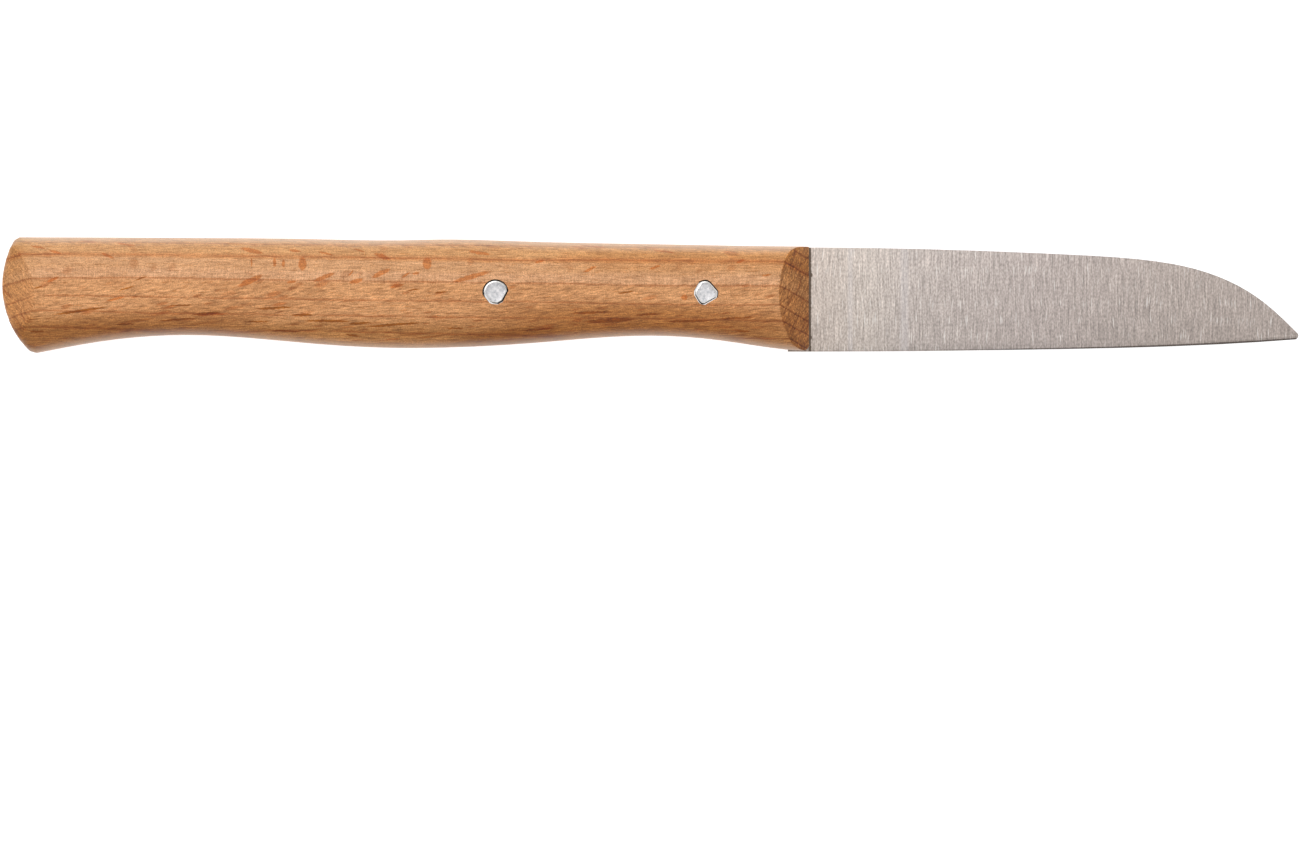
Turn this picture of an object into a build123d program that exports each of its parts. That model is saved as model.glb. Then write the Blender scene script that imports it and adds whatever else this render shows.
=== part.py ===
from build123d import *
import os

# A small paring knife: a one-piece slotted beech handle, a thin steel blade whose tang sits in the
# slot, and two solid pins through both. The knife lies on its side, as on a table. +X runs from the
# butt of the handle to the point of the blade, +Y towards the back of the knife, and +Z up through
# its thickness. The origin is below the middle of the knife's box. Everything is in millimetres.

# Whole knife
handle_length = 107.1  # from the butt to the flat front end of the wood
exposed_length = 65.1  # from the front end of the wood to the point
overrun = 5.0  # how far a cut or a blank runs past what it shapes

# Handle, seen from the side: its height at these places, from the butt to the front end
rump_height = 15.02
hip_height = 13.82
neck_height = 12.87  # hollow behind the palm
swell_height = 13.93
belly_height = 14.28  # swell in the palm
crest_height = 14.35
palm_height = 13.46
waist_height = 12.12  # hollow for the forefinger
finger_height = 12.58
flare_height = 13.6  # guard for the forefinger
nose_height = 13.85
# How far along the handle these places lie
rump_share = 0.057
hip_share = 0.1195
neck_share = 0.2316
swell_share = 0.393
belly_share = 0.4911
crest_share = 0.542
palm_share = 0.6536
waist_share = 0.803
finger_share = 0.8917
flare_share = 0.9655
# How far the straight-looking back has fallen there
neck_fall = 0.1
swell_fall = 0.27
belly_fall = 0.42  # the hand-shaped back dips a little here
crest_fall = 0.31
palm_fall = 0.6
waist_fall = 0.93
finger_fall = 1.12
flare_fall = 1.23
nose_fall = 1.26
axis_below_back = 7.65  # the knife's long axis lies this far below the back of the butt
blank_spare = 2.0  # the sawn blank is this much longer than the handle, behind the butt
blank_height = 16.6  # at its rear end
butt_radius = 12.2  # the butt is one round arc
butt_centre_above_axis = 1.2
nose_corner_radius = 0.8  # at the lower front corner

# Handle, seen from the end: crowned sides with rounded long edges
handle_thickness = 10.4
side_crown_radius = 13.0
long_edge_radius = 2.3

# Slanted cuts on both sides of each end
nose_bevel_length = 4.0
nose_land_thickness = 2.4  # flat end left round the blade
butt_bevel_length = 4.4
butt_land_thickness = 5.0
butt_edge_bevel = 0.4

# Slot for the tang, cut by a round saw that comes in from the front
saw_radius = 60.0
slot_clearance = 0.03  # on each side of the tang
slot_spare_length = 1.0  # behind the tang's end

# Blade
blade_height = 13.83  # at the heel
blade_thickness = 1.0
edge_thickness = 0.28  # of the ground sides where they meet the sharpening
point_thickness = 0.28  # the same at the point
heel_setback = 2.8  # the full-height blade reaches this far into the slot
grind_gap = 0.2  # the ground sides start this far ahead of the wood
point_radius = 0.45  # the point is a very small arc
point_low_angle = -60  # where the point's small arc meets the cutting edge
point_high_angle = 45  # where it meets the back
sharpened_height = 0.45  # of the sharpened facets at the very edge
sharpened_depth = 0.09  # what sharpening takes off each side there
# Back of the blade, as shares of its exposed length and of its height at the heel
back_shares = [(0.31, 0.025), (0.55, 0.072), (0.70, 0.127), (0.82, 0.251), (0.90, 0.430), (0.967, 0.680)]
point_share = 0.846  # how far down the blade's height the point lies
# Cutting edge: how far it has risen, as shares of the same two sizes, the last beyond the point
edge_shares = [(0.20, 0.004), (0.41, 0.016), (0.70, 0.044), (0.90, 0.086), (1.10, 0.162)]

# Tang and pins
tang_recess = 0.1  # the tang's edges lie this far inside the wood's outline
front_rivet_setback = 13.75  # from the front end of the wood
rivet_spacing = 27.85
rivets_above_axis = 0.24
tang_behind_rivet = 6.5
tang_end_radius = 3.0
rivet_diameter = 3.0
rivet_clearance = 0.08  # all round, in wood and steel alike
rivet_proud = 0.04  # peened ends stand this far off the wood
rivet_edge_bevel = 0.15

# Places worked out from the sizes above
overall_length = handle_length + exposed_length
butt_x = -overall_length / 2
nose_x = butt_x + handle_length
point_x = nose_x + exposed_length
half_thickness = handle_thickness / 2
middle_z = half_thickness + rivet_proud  # the pins' ends are what touches the table
blank_share = -blank_spare / handle_length


def layer(thickness):
    """The plane where a layer of this thickness starts that lies in the middle of the knife."""
    return Plane.XY.offset(middle_z - thickness / 2)


def side_view(inset):
    """The blank's outline from the side, its back and underside moved in by this much."""

    def place(along_share, below_back):
        return (butt_x + along_share * handle_length, axis_below_back - below_back)

    def back(along_share, fall):
        return place(along_share, fall + inset)

    def underside(along_share, fall, height):
        return place(along_share, fall + height - inset)

    with BuildSketch() as view:
        with BuildLine():
            upper = Spline(
                back(blank_share, 0),
                back(neck_share, neck_fall),
                back(swell_share, swell_fall),
                back(belly_share, belly_fall),
                back(crest_share, crest_fall),
                back(palm_share, palm_fall),
                back(waist_share, waist_fall),
                back(finger_share, finger_fall),
                back(flare_share, flare_fall),
                back(1, nose_fall),
            )
            lower = Spline(
                underside(1, nose_fall, nose_height),
                underside(flare_share, flare_fall, flare_height),
                underside(finger_share, finger_fall, finger_height),
                underside(waist_share, waist_fall, waist_height),
                underside(palm_share, palm_fall, palm_height),
                underside(crest_share, crest_fall, crest_height),
                underside(belly_share, belly_fall, belly_height),
                underside(swell_share, swell_fall, swell_height),
                underside(neck_share, neck_fall, neck_height),
                underside(hip_share, 0, hip_height),
                underside(rump_share, 0, rump_height),
                underside(blank_share, 0, blank_height),
            )
            Line(upper @ 1, lower @ 0)
            Line(lower @ 1, upper @ 0)
        make_face()
    return view.sketch


def crowned_bar(proud):
    """A bar along the knife, each side one wide arc, this much fuller than the finished handle."""
    arc_centre_depth = side_crown_radius - half_thickness - proud
    bar_x = butt_x - blank_spare - overrun
    bar_end = Plane(origin=(bar_x, 0, middle_z), x_dir=(0, 1, 0), z_dir=(1, 0, 0))
    with BuildPart() as bar:
        with BuildSketch(bar_end):
            with Locations((0, -arc_centre_depth)):
                Circle(side_crown_radius)
            with Locations((0, arc_centre_depth)):
                Circle(side_crown_radius, mode=Mode.INTERSECT)
        extrude(amount=nose_x + overrun - bar_x)
    return bar.part


def slants(end_x, inward, length, land):
    """The planes of the two slanted cuts at one end, each with the wood behind it."""
    drop = half_thickness - land / 2
    planes = []
    for up in (1, -1):
        start = (end_x + inward * length, 0, middle_z + up * half_thickness)
        planes.append(Plane(origin=start, x_dir=(0, 1, 0), z_dir=(-inward * drop, 0, up * length)))
    return planes


# Beech handle: a blank sawn to the side view, its sides crowned and its long edges rounded, then the
# round butt with its edges broken, the slanted cuts at both ends, the slot and the cross holes.
through = handle_thickness + 2 * overrun
butt_centre = (butt_x + butt_radius, butt_centre_above_axis)
butt_waste_length = overrun + blank_spare + butt_radius
foot_of_nose = axis_below_back - nose_fall - nose_height
nose_corner_waste = overrun + nose_corner_radius
front_rivet_place = (nose_x - front_rivet_setback, rivets_above_axis)
rear_rivet_place = (front_rivet_place[0] - rivet_spacing, rivets_above_axis)
tang_end_x = rear_rivet_place[0] - tang_behind_rivet
slot_end_x = tang_end_x - slot_spare_length
slot_width = blade_thickness + 2 * slot_clearance
hole_radius = rivet_diameter / 2 + rivet_clearance
wood_view = side_view(0)
wood_bar = crowned_bar(0)
butt_cuts = slants(butt_x, 1, butt_bevel_length, butt_land_thickness)
nose_cuts = slants(nose_x, -1, nose_bevel_length, nose_land_thickness)

with BuildPart() as handle:
    with BuildSketch(layer(through)):
        add(wood_view)
    extrude(amount=through)
    add(wood_bar, mode=Mode.INTERSECT)
    crowned_sides = [handle.faces().sort_by(Axis.Z)[-1], handle.faces().sort_by(Axis.Z)[0]]
    fillet(
        [edge for side in crowned_sides for edge in side.edges().sort_by(SortBy.LENGTH)[-2:]],
        radius=long_edge_radius,
    )
    with BuildSketch(layer(through)):
        with Locations((butt_centre[0], 0)):
            Rectangle(butt_waste_length, 2 * blank_height, align=(Align.MAX, Align.CENTER))
        with Locations(butt_centre):
            Circle(butt_radius, mode=Mode.SUBTRACT)
    extrude(amount=through, mode=Mode.SUBTRACT)
    chamfer(handle.faces().sort_by(Axis.X)[0].edges(), length=butt_edge_bevel)
    for cut in butt_cuts + nose_cuts:
        split(bisect_by=cut, keep=Keep.BOTTOM)
    with BuildSketch(layer(through)):
        with Locations((nose_x - nose_corner_radius, foot_of_nose + nose_corner_radius)):
            Rectangle(nose_corner_waste, nose_corner_waste, align=(Align.MIN, Align.MAX))
            Circle(nose_corner_radius, mode=Mode.SUBTRACT)
    extrude(amount=through, mode=Mode.SUBTRACT)
    with BuildSketch(layer(slot_width)):
        with Locations((slot_end_x + saw_radius, 0)):
            Circle(saw_radius)
    extrude(amount=slot_width, mode=Mode.SUBTRACT)
    with BuildSketch(layer(through)):
        with Locations(rear_rivet_place, front_rivet_place):
            Circle(hole_radius)
    extrude(amount=through, mode=Mode.SUBTRACT)
handle.part.label = "handle"

# Blade: the exposed part has two flat ground sides that thin it from back to edge and from heel to
# point, and a sharpened edge. Its full height runs on into the slot as the heel. Behind that the tang
# follows the wood's outline, a little inside it.
back_of_heel = axis_below_back - nose_fall - tang_recess
foot_of_heel = back_of_heel - blade_height
heel_x = nose_x - heel_setback
tang_length = nose_x - tang_end_x
grind_x = nose_x + grind_gap
point_y = back_of_heel - point_share * blade_height
point_sweep = point_high_angle - point_low_angle
tang_view = side_view(tang_recess)
back_places = [
    (nose_x + along * exposed_length, back_of_heel - down * blade_height) for along, down in back_shares
]
edge_places = [
    (nose_x + along * exposed_length, foot_of_heel + up * blade_height) for along, up in edge_shares
]


def ground_side(up):
    """The plane of one ground side, through three corners of the blade."""
    back = Vector(grind_x, back_of_heel, middle_z + up * blade_thickness / 2)
    foot = Vector(grind_x, foot_of_heel, middle_z + up * edge_thickness / 2)
    point = Vector(point_x, point_y, middle_z + up * point_thickness / 2)
    normal = (foot - back).cross(point - back)
    return Plane(origin=back, z_dir=normal * up)


with BuildPart() as blade:
    with BuildSketch(layer(blade_thickness)):
        with BuildLine():
            edge_line = Spline((grind_x, foot_of_heel), *edge_places)
            Polyline(
                edge_line @ 1,
                ((edge_line @ 1).X, back_of_heel + overrun),
                (grind_x, back_of_heel + overrun),
                edge_line @ 0,
            )
        make_face()
    extrude(amount=blade_thickness)
    for up in (1, -1):
        split(bisect_by=ground_side(up), keep=Keep.BOTTOM)
    edge_face = blade.faces().filter_by(GeomType.PLANE, reverse=True)[0]
    chamfer(
        edge_face.edges().sort_by(SortBy.LENGTH)[-2:],
        length=sharpened_depth,
        length2=sharpened_height,
        reference=edge_face,
    )
    with BuildSketch(layer(through)):
        with BuildLine():
            point = CenterArc((point_x - point_radius, point_y), point_radius, point_low_angle, point_sweep)
            back_line = Spline(
                (grind_x, back_of_heel),
                *back_places,
                point @ 1,
                tangents=[(1, 0), (point % 1) * -1],
            )
            Polyline(
                back_line @ 0,
                (grind_x - overrun, back_of_heel),
                (grind_x - overrun, foot_of_heel - overrun),
                ((point @ 0).X, foot_of_heel - overrun),
                point @ 0,
            )
        make_face()
    extrude(amount=through, mode=Mode.INTERSECT)
    with BuildSketch(layer(blade_thickness)):
        add(tang_view)
        with Locations((nose_x, 0)):
            Rectangle(tang_length, 2 * blank_height, align=(Align.MAX, Align.CENTER), mode=Mode.INTERSECT)
        with Locations((heel_x, back_of_heel)):
            Rectangle(heel_setback + grind_gap, blade_height, align=(Align.MIN, Align.MAX))
    extrude(amount=blade_thickness)
    tang_corners = blade.faces().sort_by(Axis.X)[0].edges().filter_by(Axis.Z)
    fillet(tang_corners, radius=tang_end_radius)
    with BuildSketch(layer(blade_thickness)):
        with Locations(rear_rivet_place, front_rivet_place):
            Circle(hole_radius)
    extrude(amount=blade_thickness, mode=Mode.SUBTRACT)
blade.part.label = "blade"

# Pins: solid round bar through wood and tang, the peened ends dressed to the handle's own crown.
pin_bar = crowned_bar(rivet_proud)
rivets = {}
for name, place in (("rear_rivet", rear_rivet_place), ("front_rivet", front_rivet_place)):
    with BuildPart() as rivet:
        with BuildSketch(layer(through)):
            with Locations(place):
                Circle(rivet_diameter / 2)
        extrude(amount=through)
        add(pin_bar, mode=Mode.INTERSECT)
        ends = [rivet.faces().sort_by(Axis.Z)[-1], rivet.faces().sort_by(Axis.Z)[0]]
        chamfer([edge for end in ends for edge in end.edges()], length=rivet_edge_bevel)
    rivet.part.label = name
    rivets[name] = rivet

os.makedirs("parts", exist_ok=True)
for name, piece in {"handle": handle, "blade": blade, **rivets}.items():
    export_step(piece.part, f"parts/{name}.step")
    print(name, round(piece.part.volume, 1), "mm3,", piece.part.bounding_box())
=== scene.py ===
# %% [markdown]
# A small paring knife: a slotted beech handle, a thin satin-ground blade whose tang sits in the slot,
# and two solid pins that hold them together. This notebook dresses its frame, the model that already
# has every piece at its real size. The form is right there, so the work here is what a frame leaves
# plain: softened wood edges, pins whose hammered ends are not quite round, the grain of beech, and the
# scratches that a grinding wheel leaves on steel.

# %% Open the frame
import bpy
from math import cos, degrees, radians, sin
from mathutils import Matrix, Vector


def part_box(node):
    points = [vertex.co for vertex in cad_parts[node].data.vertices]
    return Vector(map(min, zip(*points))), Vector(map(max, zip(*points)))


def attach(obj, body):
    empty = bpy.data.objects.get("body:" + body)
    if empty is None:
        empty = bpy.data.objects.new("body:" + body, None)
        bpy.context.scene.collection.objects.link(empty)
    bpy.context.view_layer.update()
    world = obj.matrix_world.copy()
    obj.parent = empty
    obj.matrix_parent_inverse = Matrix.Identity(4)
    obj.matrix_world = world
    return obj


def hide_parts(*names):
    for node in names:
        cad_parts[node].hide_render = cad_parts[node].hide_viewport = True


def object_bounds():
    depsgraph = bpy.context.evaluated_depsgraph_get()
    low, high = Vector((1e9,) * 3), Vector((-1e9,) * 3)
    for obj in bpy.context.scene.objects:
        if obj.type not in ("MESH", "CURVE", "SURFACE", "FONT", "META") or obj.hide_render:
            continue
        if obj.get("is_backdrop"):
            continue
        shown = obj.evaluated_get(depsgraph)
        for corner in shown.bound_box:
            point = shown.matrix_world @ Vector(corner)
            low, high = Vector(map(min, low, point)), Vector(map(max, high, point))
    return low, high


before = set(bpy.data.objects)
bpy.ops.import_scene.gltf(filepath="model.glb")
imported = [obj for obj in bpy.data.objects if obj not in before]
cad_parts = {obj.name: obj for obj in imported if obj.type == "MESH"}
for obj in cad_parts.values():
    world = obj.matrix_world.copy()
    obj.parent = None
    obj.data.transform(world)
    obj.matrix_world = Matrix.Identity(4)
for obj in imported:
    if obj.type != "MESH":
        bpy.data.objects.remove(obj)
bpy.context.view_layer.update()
MM = 0.001
wood_low, wood_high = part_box("handle")
middle_z = (wood_low.z + wood_high.z) / 2
nose_x = wood_high.x
butt_x = wood_low.x
pins = {}
for name in ("rear_rivet", "front_rivet"):
    low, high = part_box(name)
    pins[name] = (low + high) / 2

# %% [markdown]
# The knife was photographed from straight above, lying on its side, with a long lens. The picture is
# 1304 pixels wide and a pixel is 0.133 mm on the knife. So the camera's height follows from its lens:
# a long one, 240 mm, keeps the sides of the handle from showing. The knife lies above the middle of the
# picture, so the camera stands beside it, on the side of the cutting edge.

# %% Camera
picture_width = 1304
picture_height = 868
knife_middle_px = (651, 294.9)
pixel = 0.133 * MM
bpy.ops.object.camera_add()
camera = bpy.context.object
camera.data.lens = 240
camera.data.sensor_width = 36
camera.data.clip_start = 0.01
camera.data.clip_end = 10
camera_height = camera.data.lens / camera.data.sensor_width * picture_width * pixel
camera.location = (
    (picture_width / 2 - knife_middle_px[0]) * pixel,
    (knife_middle_px[1] - picture_height / 2) * pixel,
    middle_z + camera_height,
)
bpy.context.scene.camera = camera
print("camera", round(camera_height, 2), "m above the knife")

# %% [markdown]
# The light is that of a product photographer's table: white all round, a little brighter from beyond
# the back of the knife, so that the rounded back is light and the underside falls off. A white world
# gives the even part. One large soft lamp beyond the back gives the direction, and a weak one overhead
# keeps the side in view clear.

# %% Floor and light
bpy.ops.mesh.primitive_plane_add(size=3)
floor = bpy.context.object
floor.name = "floor"
floor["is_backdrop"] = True

world = bpy.data.worlds.new("studio")
bpy.context.scene.world = world
world.use_nodes = True
world.node_tree.nodes["Background"].inputs["Color"].default_value = (1, 1, 1, 1)
world.node_tree.nodes["Background"].inputs["Strength"].default_value = 0.55
bpy.context.scene.view_settings.view_transform = "Standard"


def lamp(name, place, size, power):
    """A square soft lamp that faces the middle of the knife."""
    bpy.ops.object.light_add(type="AREA", location=place)
    light = bpy.context.object
    light.name = name
    light.data.size = size
    light.data.energy = power
    light.rotation_euler = (-Vector(place)).to_track_quat("-Z", "Y").to_euler()


lamp("window", (-0.55, 0.7, 0.7), size=1.2, power=9)
lamp("fill", (0.1, -0.2, 1.1), size=0.5, power=2)

# %% [markdown]
# Every finish is a graph of nodes. Linking nodes by hand hides the thought in them, so two small
# classes let a finish read like a formula. A Wire is a value on its way through the graph, and sums on
# wires add Math nodes. A Finish is the material, and its one method adds any other node.

# %% Helpers for materials: a value on its way
class Wire:
    """A value on its way through a material. Sums and products of wires add Math nodes."""

    def __init__(self, finish, socket):
        self.finish = finish
        self.socket = socket

    def maths(self, operation, *values):
        return self.finish.add("Math", {"operation": operation}, dict(enumerate(values)))

    def __add__(self, other):
        return self.maths("ADD", self, other)

    def __sub__(self, other):
        return self.maths("SUBTRACT", self, other)

    def __rsub__(self, other):
        return self.maths("SUBTRACT", other, self)

    def __mul__(self, other):
        return self.maths("MULTIPLY", self, other)

    __radd__ = __add__
    __rmul__ = __mul__

    def smallest(self, other):
        return self.maths("MINIMUM", self, other)

    def largest(self, other):
        return self.maths("MAXIMUM", self, other)

    def size(self):
        return self.maths("ABSOLUTE", self)

    def dot(self, direction):
        """How far a place lies in this direction, counted in the direction's length."""
        settings = {"operation": "DOT_PRODUCT"}
        return self.finish.add("VectorMath", settings, {0: self, 1: direction}, out="Value")

    def share(self, low, high):
        """How far a value is on its way from low to high: 0 to 1 at an even pace."""
        return self.finish.add("MapRange", {}, {"Value": self, "From Min": low, "From Max": high})

    def rise(self, low, high):
        """0 below low, 1 above high and a soft slope between. With low above high, it falls."""
        if low > high:
            return 1 - self.rise(high, low)
        settings = {"interpolation_type": "SMOOTHSTEP"}
        return self.finish.add("MapRange", settings, {"Value": self, "From Min": low, "From Max": high})


# %% Helpers for materials: a finish
class Finish:
    """A material whose nodes are added by one method."""

    def __init__(self, name):
        self.material = bpy.data.materials.new(name)
        self.material.use_nodes = True
        self.nodes = self.material.node_tree.nodes
        self.shader = self.nodes["Principled BSDF"]

    def add(self, kind, settings=None, sockets=None, out=0):
        """Adds one node: what kind, its settings, what its sockets hold. Returns one of its outputs."""
        node = self.nodes.new("ShaderNode" + kind)
        for name, value in (settings or {}).items():
            if name == "stops":
                stops = node.color_ramp.elements
                for number, (place, colour) in enumerate(value):
                    stop = stops[number] if number < len(stops) else stops.new(place)
                    stop.position = place
                    stop.color = (*colour, 1)
            else:
                setattr(node, name, value)
        for name, value in (sockets or {}).items():
            self.feed(node.inputs[name], value)
        return Wire(self, node.outputs[out])

    def feed(self, socket, value):
        """Links a wire to a socket, or types a value into it. A colour gets its fourth number here."""
        if isinstance(value, Wire):
            self.material.node_tree.links.new(value.socket, socket)
        elif socket.type == "RGBA" and len(value) == 3:
            socket.default_value = (*value, 1)
        else:
            socket.default_value = value

    def set(self, **sockets):
        """Feeds the shader's own sockets, named with _ for a space."""
        for name, value in sockets.items():
            self.feed(self.shader.inputs[name.replace("_", " ")], value)

    def place(self):
        """Where a point is on the knife, in millimetres."""
        spot = self.add("TexCoord", out="Object")
        return self.add("VectorMath", {"operation": "SCALE"}, {0: spot, "Scale": 1 / MM})

    def split(self, vector):
        """A vector's three numbers."""
        first = self.add("SeparateXYZ", {}, {0: vector})
        return [Wire(self, output) for output in first.socket.node.outputs]

    def join(self, *numbers):
        """Three numbers as one vector."""
        return self.add("CombineXYZ", {}, dict(enumerate(numbers)))

    def stretched(self, spot, *lengths):
        """The same place counted in grains of these lengths along X, Y and Z."""
        counts = [1 / length for length in lengths]
        return self.add("VectorMath", {"operation": "MULTIPLY"}, {0: spot, 1: counts})

    def noise(self, spot, detail=2, rough=0.5, seed=0):
        """Cloudy noise of about 0.5, one cloud to a unit."""
        sockets = {"Vector": spot, "W": seed, "Scale": 1, "Detail": detail, "Roughness": rough}
        return self.add("TexNoise", {"noise_dimensions": "4D"}, sockets)

    def ramp(self, value, stops):
        """The colour that these stops give to a value from 0 to 1."""
        return self.add("ValToRGB", {"stops": stops}, {0: value})

    def mix(self, share, under, over, how="MIX"):
        """Paints a colour over another, by this share."""
        settings = {"data_type": "RGBA", "blend_type": how}
        return self.add("Mix", settings, {0: share, 6: under, 7: over}, out=2)

    def stain(self, share, under, tint):
        """Multiplies a colour by a tint, by this share."""
        return self.mix(share, under, tint, "MULTIPLY")

    def bump(self, height, depth):
        """The surface tilted as if its height, from 0 to 1, were this many millimetres."""
        return self.add("Bump", {}, {"Height": height, "Distance": depth * MM, "Strength": 1})


# %% Helpers for materials: colours, and the first finish
def linear(level):
    """How much light a screen sends for a level from 0 to 255."""
    share = level / 255
    return ((share + 0.055) / 1.055) ** 2.4 if share > 0.04045 else share / 12.92


def paint(*levels):
    """A colour as a painter sees it, from 0 to 255, turned into the light that it sends back."""
    return tuple(linear(level) for level in levels)


floor_finish = Finish("light_table")
floor_finish.set(Base_Color=(0.6, 0.6, 0.6), Roughness=0.9)
floor_finish.set(Emission_Color=(1, 1, 1), Emission_Strength=0.75)
floor.data.materials.append(floor_finish.material)
print("floor ready; a paint of 211, 155, 112 sends back",
      [round(share, 3) for share in paint(211, 155, 112)])

# %% [markdown]
# The handle is milled and sanded beech, and its form is already right in the frame. Modelling it again
# from a cube would only lose exactness, so a copy of the frame's mesh is the blank here. Its triangles
# come loose and are merged first. The saw leaves crisp edges at the nose, and a narrow bevel takes
# their sharpness off. Long flat strips shade badly once their edges are touched, so the blank is sliced
# across every millimetre and a half, which gives short, even faces.

# %% Helpers for modelling
import bmesh


def alone(piece):
    """Makes this piece the only one selected, because an operator acts on all that is."""
    if bpy.context.object and bpy.context.object.mode == "EDIT":
        bpy.ops.object.mode_set(mode="OBJECT")
    bpy.ops.object.select_all(action="DESELECT")
    bpy.context.view_layer.objects.active = piece
    piece.select_set(True)


def pick(kind, test):
    """In edit mode, selects the faces or edges that pass a test, and says how many those are."""
    mesh = bmesh.from_edit_mesh(bpy.context.object.data)
    bpy.ops.mesh.select_all(action="DESELECT")
    bpy.ops.mesh.select_mode(type=kind)
    found = [part for part in (mesh.faces if kind == "FACE" else mesh.edges) if test(part)]
    for part in found:
        part.select_set(True)
    mesh.select_flush_mode()
    bmesh.update_edit_mesh(bpy.context.object.data)
    return len(found)


def middle(part):
    """The middle of a face's or an edge's corners."""
    return sum((corner.co for corner in part.verts), Vector()) / len(part.verts)


def copy_of(node, name):
    """A new piece with the mesh of a node of the frame, its triangles merged, left in edit mode."""
    piece = bpy.data.objects.new(name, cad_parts[node].data.copy())
    bpy.context.collection.objects.link(piece)
    piece.data.materials.clear()
    alone(piece)
    bpy.ops.object.mode_set(mode="EDIT")
    bpy.ops.mesh.select_all(action="SELECT")
    bpy.ops.mesh.customdata_custom_splitnormals_clear()
    bpy.ops.mesh.remove_doubles(threshold=MM / 1000)
    bpy.ops.mesh.dissolve_limited(angle_limit=radians(0.3))
    return piece


def finish_piece(piece, finish, node, smooth=30):
    """Shades a piece, gives it its finish and hangs it on the frame in place of its node."""
    alone(piece)
    bpy.ops.object.shade_smooth_by_angle(angle=radians(smooth))
    piece.data.materials.clear()
    piece.data.materials.append(finish.material)
    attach(piece, "root")
    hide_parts(node)
    print(piece.name, len(piece.data.polygons), "faces in place of", node)


# %% Handle: the blank, its pin holes plugged
handle = copy_of("handle", "beech_handle")
plug_reach = 1.8 * MM
level_turn = 0.3


def in_pin_hole(face):
    """Whether a face is a part of a hole's wall: near a pin, and not facing up or down."""
    spot = middle(face)
    near = min((spot - place).xy.length for place in pins.values())
    return near < plug_reach and abs(face.normal.z) < level_turn


print("hole walls taken out:", pick("FACE", in_pin_hole))
bpy.ops.mesh.delete(type="FACE")
bpy.ops.mesh.select_all(action="SELECT")
bpy.ops.mesh.fill_holes(sides=0)

# %% Handle: crisp edges eased at the nose, short faces all along
sharp_turn = radians(15)
nose_length = 4.6 * MM
nose_ease = 0.12 * MM
slot_reach = 0.7 * MM
slice_length = 1.5 * MM


def sharp_at(start_x, end_x, reach):
    """A test for the edges between two places along the knife where the wood turns sharply. Those
    nearer than the reach to the middle of its thickness fail it."""

    def test(edge):
        spot = middle(edge)
        inside = start_x < spot.x < end_x and abs(spot.z - middle_z) > reach
        return inside and edge.calc_face_angle(0) > sharp_turn

    return test


print("edges at the nose:", pick("EDGE", sharp_at(nose_x - nose_length, nose_x + MM, slot_reach)))
bpy.ops.mesh.bevel(offset=nose_ease, segments=2, affect="EDGES")
for step in range(1, int((nose_x - butt_x) / slice_length)):
    bpy.ops.mesh.select_all(action="SELECT")
    bpy.ops.mesh.bisect(plane_co=(butt_x + step * slice_length, 0, 0), plane_no=(1, 0, 0))

# %% [markdown]
# The butt has slanted cuts too, but there the sander has rounded their edges until they hardly show. A
# bevel could do it, yet several edges meet at each corner and a wide bevel folds over itself there. So
# the butt is cut into a fine grid in all three directions, and a smoothing modifier works on its sharp
# edges alone, which takes material off where the turn is sharpest, as sandpaper does.

# %% Handle: the butt sanded round
butt_length = 7 * MM
butt_slice = 0.6 * MM
slices_along, slices_across, slices_through = 11, 12, 8
sanded_length = 5.5 * MM
land_reach = 2.6 * MM
butt_cuts = [((1, 0, 0), butt_x + step * butt_slice) for step in range(1, slices_along + 1)]
butt_cuts += [((0, 1, 0), step * butt_slice) for step in range(-slices_across, slices_across + 1)]
butt_cuts += [
    ((0, 0, 1), middle_z + step * butt_slice) for step in range(-slices_through, slices_through + 1)
]
for direction, distance in butt_cuts:
    pick("FACE", lambda face: middle(face).x < butt_x + butt_length)
    bpy.ops.mesh.bisect(plane_co=Vector(direction) * distance, plane_no=direction)
print("edges to sand:", pick("EDGE", sharp_at(butt_x - MM, butt_x + sanded_length, land_reach)))
bpy.ops.object.vertex_group_assign_new()
bpy.ops.object.mode_set(mode="OBJECT")
sanding = handle.modifiers.new("sanding", "SMOOTH")
sanding.vertex_group = handle.vertex_groups.active.name
sanding.factor = 0.5
sanding.iterations = 5
alone(handle)
bpy.ops.object.modifier_apply(modifier=sanding.name)
print("handle has", len(handle.data.polygons), "faces")

# %% [markdown]
# The pins are soft bar, hammered over at both ends and then filed almost level with the wood. Hammering
# pushes the metal out unevenly, so the ends are round only in places, with flats between. Each pin
# starts as a cylinder, and a cut for each flat takes a slice off. The same bar, a little fatter, cuts
# the hole, which leaves an even dark gap all round. Then each end is drawn in by a few low steps, which
# gives it the worn rim and the slight dome that catch the light.

# %% Pins: a hammered bar, and the holes it leaves
pin_radius = {"rear_rivet": 1.53 * MM, "front_rivet": 1.48 * MM}
pin_gap = 0.21 * MM
drill_length = 20 * MM
weld_reach = 0.06 * MM
# Each flat has its direction in degrees and its distance from the pin's middle in millimetres.
pin_flats = {
    "rear_rivet": [(216, 1.22), (243, 1.34), (268, 1.31), (300, 1.31), (335, 1.2), (354, 1.42)],
    "front_rivet": [
        (38, 1.15), (65, 1.34), (90, 1.41), (147, 1.21), (180, 1.31),
        (211, 1.26), (240, 1.37), (270, 1.34), (301, 1.14),
    ],
}


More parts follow.
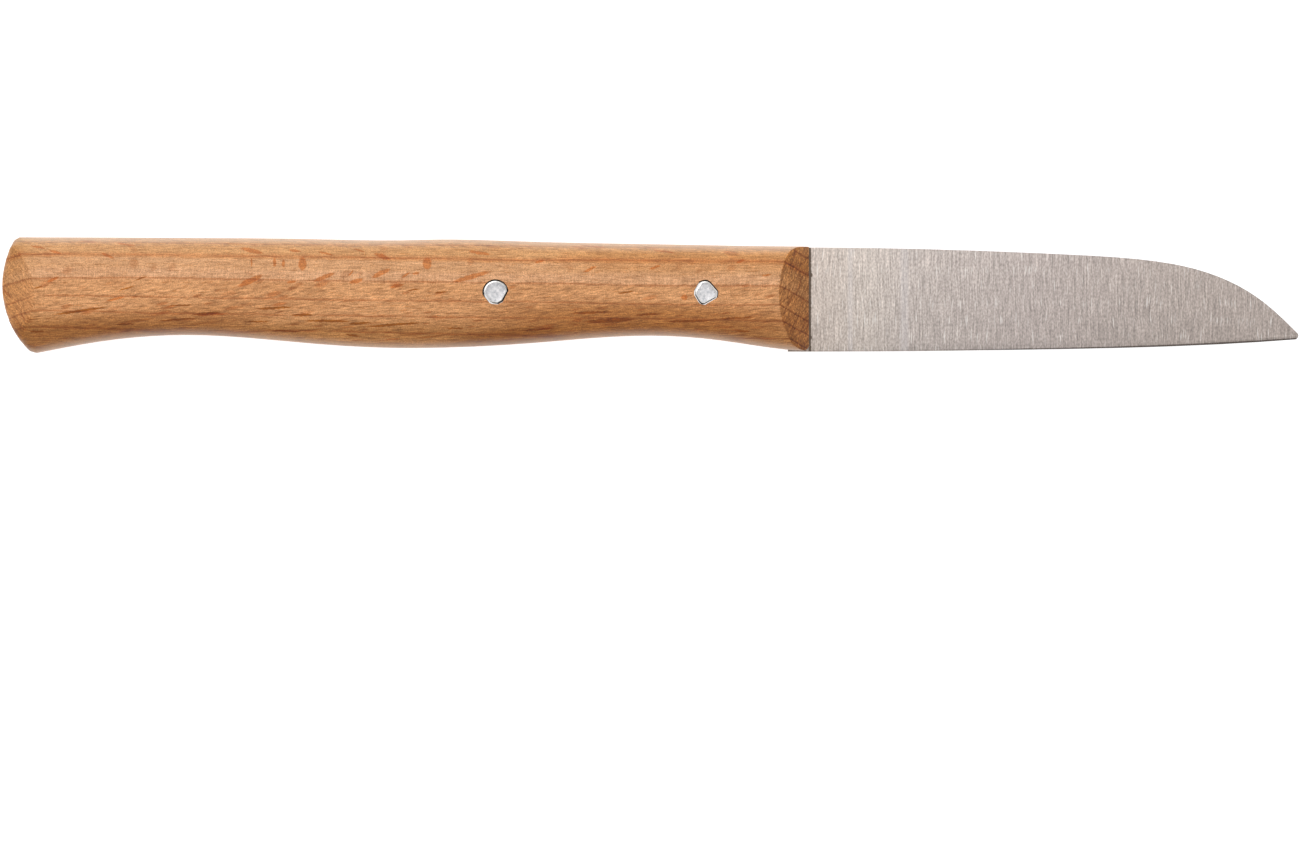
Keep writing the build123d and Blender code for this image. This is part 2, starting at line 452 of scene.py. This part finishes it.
def hammered_bar(node, name, spare, length):
    """A bar with a pin's flats, fatter all round by the spare, left in edit mode."""
    bpy.ops.mesh.primitive_cylinder_add(
        vertices=48, radius=pin_radius[node] + spare, depth=length, location=pins[node]
    )
    bar = bpy.context.object
    bar.name = name
    alone(bar)
    bpy.ops.object.transform_apply(location=True, rotation=True, scale=True)
    bpy.ops.object.mode_set(mode="EDIT")
    for angle, distance in pin_flats[node]:
        outward = Vector((cos(radians(angle)), sin(radians(angle)), 0))
        bpy.ops.mesh.select_all(action="SELECT")
        bpy.ops.mesh.bisect(
            plane_co=pins[node] + outward * (distance * MM + spare),
            plane_no=outward,
            use_fill=True,
            clear_outer=True,
        )
    bpy.ops.mesh.select_all(action="SELECT")
    bpy.ops.mesh.remove_doubles(threshold=weld_reach)
    return bar


def cut(piece, cutter):
    """Takes the cutter's shape out of the piece."""
    alone(piece)
    tool = piece.modifiers.new("cut", "BOOLEAN")
    tool.object = cutter
    tool.operation = "DIFFERENCE"
    bpy.ops.object.modifier_apply(modifier=tool.name)
    bpy.data.objects.remove(cutter)


for node in pins:
    drill = hammered_bar(node, "drill", pin_gap, drill_length)
    cut(handle, drill)
print("handle with its holes:", len(handle.data.polygons), "faces")

# %% Pins: their domed ends
# Each step of the dome has its width against the step before and its height in millimetres.
pin_dome = ((0.97, 0.03), (0.9, 0.03), (0.75, 0.015), (0.6, 0.005))
dome_height = sum(lift for shrink, lift in pin_dome) * MM
pin_pieces = {}
for node, name in (("rear_rivet", "rear_pin"), ("front_rivet", "front_pin")):
    low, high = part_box(node)
    pin = hammered_bar(node, name, 0, high.z - low.z)
    for up in (1, -1):
        pick("FACE", lambda face: face.normal.z * up > 0.9)
        bpy.ops.transform.translate(value=(0, 0, -up * dome_height))
        for shrink, lift in pin_dome:
            bpy.ops.mesh.extrude_region()
            bpy.ops.transform.resize(value=(shrink, shrink, 1), center_override=pins[node])
            bpy.ops.transform.translate(value=(0, 0, up * lift * MM))
    bpy.ops.object.mode_set(mode="OBJECT")
    pin_pieces[node] = pin
print("pins have", [len(pin.data.polygons) for pin in pin_pieces.values()], "faces")

# %% [markdown]
# The blade is one thin sheet, ground on both sides so that it thins towards the edge and the point. It
# could be an outline, extruded and then thinned by hand, but the two ground sides have to meet exactly
# in the edge. A copy of the frame's node has them already. Only the corners along its back are eased a
# little, with a bevel, as a quick pass over a fine belt leaves them.

# %% Blade
blade = copy_of("blade", "ground_blade")
blade_low, blade_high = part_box("blade")
square_turn = radians(60)
edge_zone = 3 * MM
back_ease = 0.05 * MM


def back_corner(edge):
    """Whether an edge is one of the square corners along the blade's back, ahead of the wood."""
    spot = middle(edge)
    square = edge.calc_face_angle(0) > square_turn
    faces_back = edge.verts[0].normal.y > -0.2 and spot.y > blade_low.y + edge_zone
    return square and spot.x > nose_x and faces_back


print("corners along the back:", pick("EDGE", back_corner))
bpy.ops.mesh.bevel(offset=back_ease, segments=2, affect="EDGES")
bpy.ops.object.mode_set(mode="OBJECT")

# %% [markdown]
# Beech shows three things. Year rings run as thin dark lines along the handle and turn down over the
# sawn ends, because they are layers right through the wood. Rays are thin upright plates that cross the
# rings, and where the surface meets one it shows as a small lens or a dark dash. Fine pores lie along
# the grain everywhere. Painting each side by itself would break the lines at the edges, so everything
# is worked out from the place in the solid wood: how far out from the tree's heart a point lies, and
# how far round.

# %% Beech: directions in the tree
beech = Finish("oiled_beech")
spot = beech.place()
along, across, up = beech.split(spot)
depth = up - wood_high.z / MM
# Rings and rays are tilted as the sawn end shows them, and drift a little along the handle.
ring_tilt = radians(28)
ray_tilt = radians(20)
ring_drift = 0.0108
ray_slant = 0.075
outward = across * cos(ring_tilt) - depth * sin(ring_tilt)
sideways = across * sin(ray_tilt) + depth * cos(ray_tilt) - along * ray_slant
print("a ring is turned", round(degrees(ring_tilt - ray_tilt)), "degrees more than a ray")

# %% Beech: the colour of each year
# Growth says how far out in the tree a point lies, in millimetres. The two noises keep its rings from
# running quite straight.
ring_shift = 1.0
wander = (beech.noise(beech.stretched(spot, 30, 6, 6), seed=1) - 0.5) * 0.9
shiver = beech.noise(beech.stretched(spot, 2.5, 0.8, 0.8), detail=3, rough=0.6, seed=2)
shiver = (shiver - 0.5) * 0.35
growth = outward + along * ring_drift + wander + shiver + ring_shift
growth_low, growth_high = -16, 9
growth_share = growth.share(growth_low, growth_high)


def at_growth(value):
    """Where on a ramp, from 0 to 1, the wood that lies this far out is."""
    return (value - growth_low) / (growth_high - growth_low)


plain = paint(205, 152, 106)
pale = paint(208, 161, 123)
sandy = paint(201, 153, 111)
honey = paint(199, 149, 99)
deep = paint(177, 125, 74)
dull = paint(184, 130, 78)
golden = paint(195, 138, 88)
# The deep tone, low on the handle, is partly darker wood and partly painted shade of the rounded
# underside.
tones = [
    (-16, dull), (-9, plain), (-6, deep), (-3.2, deep), (-1.7, plain), (1.9, plain), (2.4, pale),
    (3.1, pale), (3.7, sandy), (4.8, sandy), (5.1, golden), (5.5, golden), (5.9, honey),
]
tone = beech.ramp(growth_share, [(at_growth(value), colour) for value, colour in tones])
print(len(tones), "tones over", growth_high - growth_low, "mm of growth")

# %% Beech: the dark line that ends each year
black, white = (0, 0, 0), (1, 1, 1)
ring_places = (-10.2, -8.4, -6.6, -5.0, -3.4, -1.75, -0.07, 2.13, 5.3, 7.3)
ring_start, ring_end = 0.1, 0.22
ring_tint = (0.7, 0.51, 0.36)
ring_stops = []
for ring in ring_places:
    ring_stops += [
        (at_growth(ring - ring_start), black),
        (at_growth(ring), white),
        (at_growth(ring + ring_end), black),
    ]
ring_line = beech.ramp(growth_share, ring_stops)
gaps = beech.noise(beech.stretched(spot, 6, 2, 2), rough=0.6, seed=4).rise(0.25, 0.5)
wood = beech.stain(ring_line * gaps, tone, ring_tint)
print(len(ring_places), "rings in the handle")

# %% [markdown]
# A ray is a plate a few millimetres long and a tenth or two thick. Stretched Voronoi cells give such
# plates all through the wood: each cell's middle is the plate, and a cell's own random colour thins
# some out. Where the surface lies along the rays instead of across them they fade, as in the real wood.
# The rest of the grain is noise, stretched along the handle and only as thick as a fibre.

# %% Beech: rays
speck_tint = (0.76, 0.6, 0.46)
flake_tint = (0.86, 0.64, 0.45)
spindle_tint = (0.72, 0.55, 0.34)


def rays(length, radial, thickness, size, seed):
    """A field of thin plates, flat across the year rings: 1 inside a plate. Their cells have this length
    along the handle, out from the heart and through, and a plate fills this share of its cell."""
    cell = beech.join(along * (1 / length) + seed, outward * (1 / radial), sideways * (1 / thickness))
    plate = beech.add("TexVoronoi", {}, {"Vector": cell, "Scale": 1})
    chance = beech.split(Wire(beech, plate.socket.node.outputs["Color"]))[0]
    return plate.rise(size, size * 0.5) * chance.rise(0.2, 0.9)


turned_x, turned_y, turned_z = beech.split(beech.add("NewGeometry", out="Normal"))
on_ray = (turned_y * sin(ray_tilt) + turned_z * cos(ray_tilt)).size().rise(0.95, 0.99)
short_specks = rays(2.8, 3, 0.34, size=0.27, seed=5.4)
specks = rays(4.2, 4, 0.5, size=0.25, seed=0.3).largest(short_specks) * (1 - on_ray * 0.4)
flakes = rays(5, 8, 0.55, size=0.28, seed=7.7) * (1 - on_ray * 0.5)
spindles = rays(13, 9, 0.6, size=0.24, seed=3.1) * growth.rise(-1, -3)
wood = beech.stain(specks, wood, speck_tint)
wood = beech.stain(flakes, wood, flake_tint)
wood = beech.stain(spindles, wood, spindle_tint)
print("beech has", len(beech.nodes), "nodes with its rays")

# %% Beech: fibres and pores
pore_tint = (0.78, 0.66, 0.5)


def shade(colour, wave, dark, light, share=1.0):
    """A colour made darker and lighter by a noise, between these two factors. Dark wood is browner."""
    stops = [(0.3, (dark, dark * 0.95, dark * 0.88)), (0.7, (light, light, light))]
    return beech.stain(share, colour, beech.ramp(wave, stops))


fibre = beech.noise(beech.stretched(spot, 1.9, 0.22, 0.22), detail=1, rough=0.6, seed=6)
cells = beech.noise(beech.stretched(spot, 0.16, 0.13, 0.13), detail=1, rough=0.6, seed=8)
cloud = beech.noise(beech.stretched(spot, 9, 3, 3), seed=9)
weave = beech.noise(beech.stretched(spot, 0.2, 1.4, 1.4), detail=0, seed=10)
wisp_place = beech.join(along * (1 / 1.3), outward * (1 / 0.8), sideways * (1 / 0.08))
wisps = beech.noise(wisp_place, detail=1, rough=0.6, seed=15)
pores = beech.noise(beech.stretched(spot, 1.3, 0.13, 0.13), detail=1, seed=14).rise(0.56, 0.72)
pale_band = growth.rise(1.5, 2.3) * growth.rise(4.1, 3.4)
wood = shade(wood, fibre, dark=0.78, light=1.2)
wood = shade(wood, wisps, dark=0.74, light=1.26, share=1 - on_ray * 0.75)
wood = shade(wood, cells, dark=0.7, light=1.3)
wood = shade(wood, cloud, dark=0.93, light=1.06)
wood = shade(wood, weave, dark=0.84, light=1.14, share=pale_band * 0.5 + 0.15)
wood = beech.stain(pores, wood, pore_tint)
print("beech has", len(beech.nodes), "nodes with its fibres")

# %% [markdown]
# This handle has marks of its own: larger ray flecks near the back, dark streaks towards the cutting
# edge, and a darker stretch along the bottom, partly heartwood and partly painted shade of the rounded
# underside. Random marks would never fall where the real ones are, so each is placed one by one, as a
# lens with a length, a height and a slope. A shared small tremble keeps their outlines from looking
# drawn. They are measured with dot products and not with a Mapping node each, because some seventy of
# those are more than the renderer can hold at one time.

# %% Beech: a way to place marks
px_per_mm = MM / pixel
tremble = beech.add("TexNoise", {}, {"Vector": spot, "Scale": 2, "Detail": 2}, out="Color")
tremble = beech.add("VectorMath", {"operation": "SUBTRACT"}, {0: tremble, 1: (0.5, 0.5, 0.5)})
tremble = beech.add("VectorMath", {"operation": "SCALE"}, {0: tremble, "Scale": 0.3})
trembling = beech.add("VectorMath", {"operation": "ADD"}, {0: spot, 1: tremble})
in_view = (up - middle_z / MM).rise(0, 1)


def on_knife(picture_x, picture_y):
    """Where a place in the picture, in pixels, lies on the knife, in millimetres."""
    return Vector((picture_x - knife_middle_px[0], knife_middle_px[1] - picture_y, 0)) / px_per_mm


def marks(places, inside=0.75, outside=1.15):
    """Lens-shaped marks on the side in view: 1 inside. Each has its middle, length and height in the
    picture's pixels, and its slope in degrees."""
    nearest = None
    for picture_x, picture_y, length, height, slope in places:
        turn = radians(slope)
        centre = on_knife(picture_x, picture_y)
        lengthwise = Vector((cos(turn), sin(turn), 0)) * (px_per_mm * 2 / length)
        upwards = Vector((-sin(turn), cos(turn), 0)) * (px_per_mm * 2 / height)
        aside = trembling.dot(lengthwise) - lengthwise.dot(centre)
        above = trembling.dot(upwards) - upwards.dot(centre)
        distance = aside * aside + above * above
        nearest = nearest.smallest(distance) if nearest else distance
    return nearest.rise(outside ** 2, inside ** 2) * in_view


print("a mark of 10 pixels is", round(10 / px_per_mm, 2), "mm long")

# %% Beech: flecks, streaks, and heartwood with painted shade
fleck_places = [
    (253, 251.3, 23, 4.4, -12), (296, 251.3, 12, 3, -5), (383, 257, 17, 4.6, -20),
    (480, 253.5, 22, 3.2, -9), (276, 263, 3.4, 9, 0), (285, 264, 3.2, 8, 0), (304, 264.5, 8, 14, 0),
    (428, 264, 9.5, 12, 0), (252, 281.5, 27, 5.6, 25), (326, 277.5, 22, 4.4, 22),
    (357.5, 281.7, 14, 4.4, 15), (382, 274, 20, 5, 25), (398, 286.5, 14, 3.4, 14),
    (472, 277.5, 38, 5, 16), (590, 270, 14, 3, 25), (110, 256.5, 14, 3.2, -22),
    (57, 252.5, 13, 2.6, -16), (40, 247.5, 15, 2.2, -10), (56, 280, 13, 2.8, 26),
    (118, 299.5, 19, 2.6, 12), (352, 273.7, 8, 2, 50), (407, 275.7, 10, 2.4, 35),
    (293, 282.5, 9, 2.8, 8), (327, 254, 15, 2, -14), (360, 251, 12, 1.8, -15), (128, 245, 18, 2, -8),
    (417, 274, 8, 2.4, 8), (253, 263, 1.8, 9, 0), (684, 298, 6.5, 6, -20), (214, 315, 28, 2.2, 4),
    (593, 247, 26, 2, -6), (664, 252, 22, 2, -8), (540, 262, 10, 3, 18), (655, 268, 11, 2.8, 20),
    (740, 262, 9, 3, 22), (766, 276, 10, 2, 8),
]
streak_places = [
    (82, 311.5, 54, 2.6, 8), (276, 308.5, 36, 2.6, 3), (303, 315.4, 22, 2.4, 2),
    (329, 321.5, 46, 2.6, -1), (361, 323.7, 22, 2.8, 5), (394, 325.2, 56, 2.6, 4),
    (208, 314, 28, 2.6, 4), (610, 321, 52, 4.4, 3), (647, 315, 24, 2.4, 4), (688, 321.5, 48, 2.4, 1),
    (742, 331.6, 16, 2.4, 0), (592, 313, 42, 2.4, 2), (538, 330, 34, 2.2, 3), (456, 328.7, 16, 1.8, 0),
    (288, 331.5, 28, 1.8, -3), (354, 335.7, 16, 1.8, -8), (180, 320, 42, 1.8, 4),
    (127, 324.5, 18, 1.8, 2), (39, 332, 15, 2.2, 0), (737, 318.5, 36, 1.8, 3), (442, 293, 13, 2, 5),
    (626, 293, 16, 1.8, 8), (414.5, 290.5, 12, 1.8, 8), (258, 322, 26, 1.6, 0), (129, 289, 16, 1.6, 15),
    (143, 279, 13, 1.5, 20), (41, 288, 9, 1.8, 12), (182, 306, 26, 1.5, 3),
]
heart_and_shade_places = [(645, 321, 320, 36, -1), (520, 336, 160, 22, 8)]
butt_heart_and_shade_places = [(130, 327, 280, 34, 6)]
flecks = marks(fleck_places)
streaks = marks(streak_places)
# Partly painted shade: these marks darken the lower stretch, both as heartwood and as the rounded
# underside's shade.
heart = marks(heart_and_shade_places, inside=0.2, outside=1.3)
heart = heart.largest(marks(butt_heart_and_shade_places, inside=0.2, outside=1.3) * 0.7)
tan_patch = (along - 6.5).size().rise(22, 12) * (across - 4.4).size().rise(1.8, 0.9)
for share, tint in (
    (flecks, (0.85, 0.57, 0.32)),
    (streaks, (0.58, 0.38, 0.1)),
    (heart, (0.66, 0.53, 0.31)),
    (tan_patch, (0.95, 0.88, 0.76)),
):
    wood = beech.stain(share, wood, tint)
print(len(fleck_places), "flecks and", len(streak_places), "streaks placed by hand")

# %% [markdown]
# A cut across the grain shows the open ends of the fibres, which drink oil and turn darker and browner.
# The slanted nose shows this most, with the year rings and the rays crossing it as fine dark lines. The
# butt is only a little darker, and fades into the side where the sander has rounded it. The narrow back
# and front of the handle are painted paler, a painted sheen for the white room's grazing reflection,
# most on the back. All of this follows from which way a face looks.

# %% Beech: sawn ends
sawn_line_tint = (0.66, 0.58, 0.5)
sawn = beech.stain(1.0, wood, (0.79, 0.69, 0.5))
sawn = beech.stain(ring_line, sawn, sawn_line_tint)
ray_ends = beech.noise(beech.join(outward * 0.25, sideways * 5, along), rough=0.6, seed=12)
sawn = shade(sawn, ray_ends, dark=0.66, light=1.26)
fibre_ends = beech.noise(beech.stretched(spot, 0.2, 0.3, 0.3), detail=0, seed=13)
sawn = shade(sawn, fibre_ends, dark=0.75, light=1.22)
cross_tilt = radians(38)
ray_cross = across * sin(cross_tilt) + depth * cos(cross_tilt)
ray_wave = beech.noise(beech.join(ray_cross * 0.9, outward * 0.12, 0), detail=1, seed=16) - 0.5
ray_line = ray_wave.size().rise(0.03, 0.01)
sawn = beech.stain(ray_line * 0.8, sawn, sawn_line_tint)
print("beech has", len(beech.nodes), "nodes with its sawn ends")

# %% Beech: narrow sides, nose and butt
rim_sheen_colour = (0.6, 0.49, 0.4)
butt_tint = (0.83, 0.77, 0.6)
butt_fade, butt_full = 6, 1.5
# Painted sheen: faces that stand upright are paler, and those that look towards the back more so.
upright_sheen = turned_z.size().rise(0.92, 0.4)
wood = beech.mix(upright_sheen * 0.3 + turned_y.rise(0.3, 0.8) * 0.18, wood, rim_sheen_colour)
end_grain = turned_x.size().rise(0.08, 0.5)
front_half = along.rise(-5, 5)
wood = beech.mix(end_grain * (front_half * 0.6 + 0.4), wood, sawn)
near_butt = along.rise(butt_x / MM + butt_fade, butt_x / MM + butt_full)
wood = beech.stain(near_butt * 0.75, wood, butt_tint)
print("the wood darkens over its last", butt_fade, "mm")

# %% Beech: painted shade on the pin holes' walls, the surface
hole_shade_colour = (0.03, 0.015, 0.01)
hole_reach = 1.9


def from_pin(node):
    """How far a point is from a pin's middle line."""
    sockets = {0: beech.join(along, across, 0), 1: (pins[node].x / MM, pins[node].y / MM, 0)}
    away = beech.add("VectorMath", {"operation": "SUBTRACT"}, sockets)
    return beech.add("VectorMath", {"operation": "LENGTH"}, {0: away}, out="Value")


near_pin = from_pin("rear_rivet").smallest(from_pin("front_rivet"))
near_pin = near_pin.rise(hole_reach + 0.1, hole_reach)
# Painted shade: the walls of the pin holes are made nearly black, so the narrow gap round each pin reads
# dark.
painted_hole_shade = near_pin * turned_z.size().rise(0.6, 0.3)
wood = beech.mix(painted_hole_shade, wood, hole_shade_colour)
grain_height = fibre * 0.6 + cells * 0.4 - specks * 0.3 - spindles * 0.5
beech.set(Base_Color=wood, Roughness=0.5, Normal=beech.bump(grain_height, 0.02))
beech.set(Specular_IOR_Level=0.25, Sheen_Weight=0.15, Sheen_Roughness=0.5)
finish_piece(handle, beech, "handle")

# %% [markdown]
# The steel is ground across the blade, from the back to the edge, on a coarse wheel. That leaves fine
# upright scratches, none longer than a few millimetres, lighter and darker than the rest. A mirror-like
# metal would show the lights as shapes. This one is satin, so it takes its tone from all round, and a
# painted reflection makes it a little lighter near the wood and towards the back.

# %% Satin steel: tone with painted reflection, and scratches
steel = Finish("satin_steel")
spot = steel.place()
along, across = steel.split(spot)[:2]
reach = along.share(nose_x / MM, blade_high.x / MM)
# Painted reflection: the steel's colour is lighter near the wood and darker towards the point.
tone = steel.ramp(reach, [
    (0.0, (0.42, 0.36, 0.32)), (0.12, (0.42, 0.37, 0.335)), (0.2, (0.375, 0.33, 0.305)),
    (0.45, (0.345, 0.3, 0.28)), (0.75, (0.325, 0.28, 0.255)), (1.0, (0.32, 0.275, 0.25)),
])
drift = steel.noise(steel.stretched(spot, 6, 4, 50), detail=1, seed=3) - 0.5
lean = steel.join(along + drift * 0.5, across, 0)
fine = steel.noise(steel.stretched(lean, 0.2, 3.2, 1), detail=1, seed=1)
short = steel.noise(steel.stretched(lean, 0.2, 0.38, 1), detail=1, seed=5)
coarse = steel.noise(steel.stretched(lean, 0.5, 6, 1), seed=2)
cuts = steel.noise(steel.stretched(lean, 0.16, 2.2, 1), detail=0, seed=4).rise(0.66, 0.78)
cut_colour = (0.75, 0.72, 0.69)


def shade_steel(colour, wave, low, high, dark, light):
    """A colour darker where a wave is low and lighter where it is high, by these two factors."""
    stops = [(low, (dark, dark, dark)), (high, (light, light, light))]
    return steel.stain(1.0, colour, steel.ramp(wave, stops))


grey = shade_steel(tone, fine, 0.3, 0.7, dark=0.78, light=1.26)
grey = shade_steel(grey, short, 0.3, 0.7, dark=0.76, light=1.26)
grey = shade_steel(grey, coarse, 0.25, 0.75, dark=0.9, light=1.1)
# Painted reflection: lighter towards the back, darker towards the edge.
grey = shade_steel(grey, across.share(-7, 7), 0, 1, dark=0.87, light=1.14)
grey = steel.mix(cuts * 0.5, grey, cut_colour)
print("steel has", len(steel.nodes), "nodes so far")

# %% [markdown]
# Close up, the blade is not even. The wheel has left two faint bluish bands. A dark line of painted
# shade lies in the corner where the blade enters the handle, with two crumbs of torn wood on it. The
# sharpened edge faces away from the light; painted shade gives it a thin dark line that widens to the
# point.

# %% Satin steel: wheel bands, painted shade and crumbs at the wood
band_colour = (0.52, 0.5, 0.52)
shade_and_crumb_colour = (0.1, 0.06, 0.03)
shadow_colour = (0.1, 0.075, 0.06)
crumb_places = ((810.6, 275, 3.4, 5), (810.4, 337.5, 3, 4.4))
narrow_band = (along - 26.5).size().rise(0.5, 0.1)
wide_band = (along - 33.7).size().rise(0.8, 0.2)
grey = steel.mix(narrow_band.largest(wide_band) * 0.2, grey, band_colour)
ragged = steel.noise(steel.stretched(spot, 0.6, 0.35, 1), rough=0.6, seed=7) - 0.5
from_wood = along - nose_x / MM
# Painted shade: a dark line on the steel where it enters the slot, joined by two real crumbs of torn
# wood.
gap_shade_and_crumbs = (from_wood - 0.12 + ragged * 0.3).size().rise(0.25, 0.08)
for picture_x, picture_y, length, height in crumb_places:
    centre = on_knife(picture_x, picture_y)
    aside = (along - centre.x) * (px_per_mm * 2 / length)
    above = (across - centre.y) * (px_per_mm * 2 / height)
    gap_shade_and_crumbs = gap_shade_and_crumbs.largest((aside * aside + above * above).rise(1.4, 0.6))
grey = steel.mix(gap_shade_and_crumbs * 0.9, grey, shade_and_crumb_colour)
grey = steel.mix(from_wood.rise(0, -0.6) * 0.5, grey, shadow_colour)
print(len(crumb_places), "crumbs of wood on the steel")

# %% Satin steel: painted shade along the cutting edge, the surface
heel_height = 13.83
edge_shade_colour = (0.05, 0.04, 0.035)
edge_rise = (reach * reach * reach * 0.1 + reach * 0.02) * heel_height
above_edge = across - blade_low.y / MM - edge_rise + ragged * 0.12
# Painted shade: a thin dark line along the sharpened edge, widening towards the point.
painted_edge_shade = above_edge.rise(0.24, 0.1) * (reach.rise(0.25, 0.45) * 0.6 + 0.25)
grey = steel.mix(painted_edge_shade, grey, edge_shade_colour)
steel.set(Base_Color=grey, Metallic=1 - gap_shade_and_crumbs * 0.9, Roughness=0.42)
steel.set(Normal=steel.bump(fine + cuts, 0.0015))
finish_piece(blade, steel, "blade", smooth=1)

# %% [markdown]
# The pins are aluminium, bright where the file last touched them. Smooth metal would mirror the white
# room and lose its form. So a blotchy noise makes the worn face greyer in places, and a painted
# highlight makes the tilted rim of the dome lighter, which a test of how far a face tilts can find.

# %% Pin metal
metal = Finish("filed_aluminium")
spot = metal.place()
blotch = metal.noise(metal.stretched(spot, 0.35, 0.35, 3), detail=3, rough=0.7, seed=1)
worn_and_highlit_metal = metal.ramp(blotch, [(0.3, (0.3, 0.31, 0.33)), (0.68, (0.66, 0.64, 0.64))])
level = metal.split(metal.add("NewGeometry", out="Normal"))[2].size()
rim_highlight_colour = (0.85, 0.83, 0.8)
# Painted highlight: the tilted rim of each domed end is lighter.
worn_and_highlit_metal = metal.mix(level.rise(0.995, 0.96), worn_and_highlit_metal, rim_highlight_colour)
metal.set(Base_Color=worn_and_highlit_metal, Metallic=1.0, Roughness=0.38, Normal=metal.bump(blotch, 0.02))
for node, pin in pin_pieces.items():
    finish_piece(pin, metal, node)

# %% [markdown]
# The dressed knife has to be as large as the frame says. Its box is measured and its size printed.

# %% Measure the dressed knife
low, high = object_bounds()
print("dressed knife", [round(side / MM, 1) for side in high - low], "mm")
